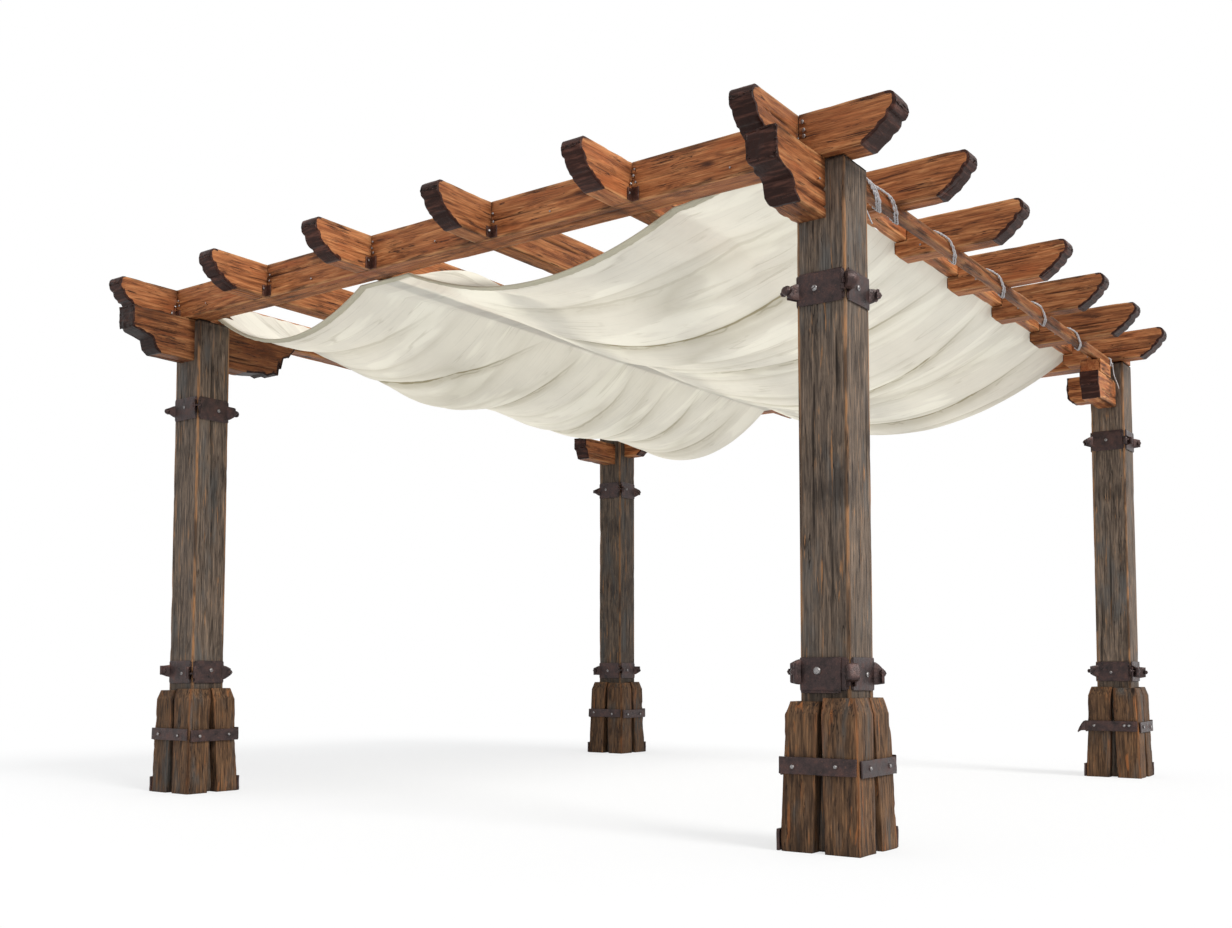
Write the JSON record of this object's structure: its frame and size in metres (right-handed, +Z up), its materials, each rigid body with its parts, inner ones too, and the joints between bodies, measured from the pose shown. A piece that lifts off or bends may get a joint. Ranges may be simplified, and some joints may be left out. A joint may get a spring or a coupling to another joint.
{
  "type": "wooden gazebo",
  "caption": "Square open timber gazebo on iron-banded posts with block footings, shaped rafter tails, lashed side stubs and a hung cloth canopy.",
  "frame": {"origin": "middle of the plan at floor level, under the centre of the roof timbers", "axes": "+X to the right along the front beam, +Y from the front to the back along the rafters, +Z up"},
  "size_m": [4.48, 4.86, 2.714],
  "materials": {
    "post_timber": "weathered, rough sawn",
    "foot_timber": "weathered, dark",
    "roof_timber": "oiled, weathered",
    "iron": "dark rust",
    "cloth": "plain woven, matt",
    "cord": "twisted, matt"
  },
  "bodies": {
    "root": {"back_beam": "roof_timber", "bolster_front_left": "roof_timber", "bolster_front_right": "roof_timber", "bracket_back_left": "roof_timber", "bracket_back_right": "roof_timber", "canopy": "cloth", "collar_lower_back_left": "iron", "collar_lower_back_right": "iron", "collar_lower_front_left": "iron", "collar_lower_front_right": "iron", "collar_upper_back_left": "iron", "collar_upper_back_right": "iron", "collar_upper_front_left": "iron", "collar_upper_front_right": "iron", "corbel_back_left": "roof_timber", "corbel_back_right": "roof_timber", "cord_end_back": "cord", "cord_end_front": "cord", "corner_tail": "roof_timber", "foot_iron_back_left": "iron", "foot_iron_back_right": "iron", "foot_iron_front_left": "iron", "foot_iron_front_right": "iron", "footing_back_left": "foot_timber", "footing_back_right": "foot_timber", "footing_front_left": "foot_timber", "footing_front_right": "foot_timber", "front_beam": "roof_timber", "lashings": "cord", "packing_block": "roof_timber", "post_back_left": "post_timber", "post_back_right": "post_timber", "post_front_left": "post_timber", "post_front_right": "post_timber", "rafter_1": "roof_timber", "rafter_2": "roof_timber", "rafter_3": "roof_timber", "rafter_4": "roof_timber", "rafter_5": "roof_timber", "side_purlin": "roof_timber", "side_rail": "roof_timber", "side_stub_1": "roof_timber", "side_stub_2": "roof_timber", "side_stub_3": "roof_timber", "side_stub_4": "roof_timber", "side_stub_5": "roof_timber", "side_stub_6": "roof_timber"}
  },
  "joints": []
}
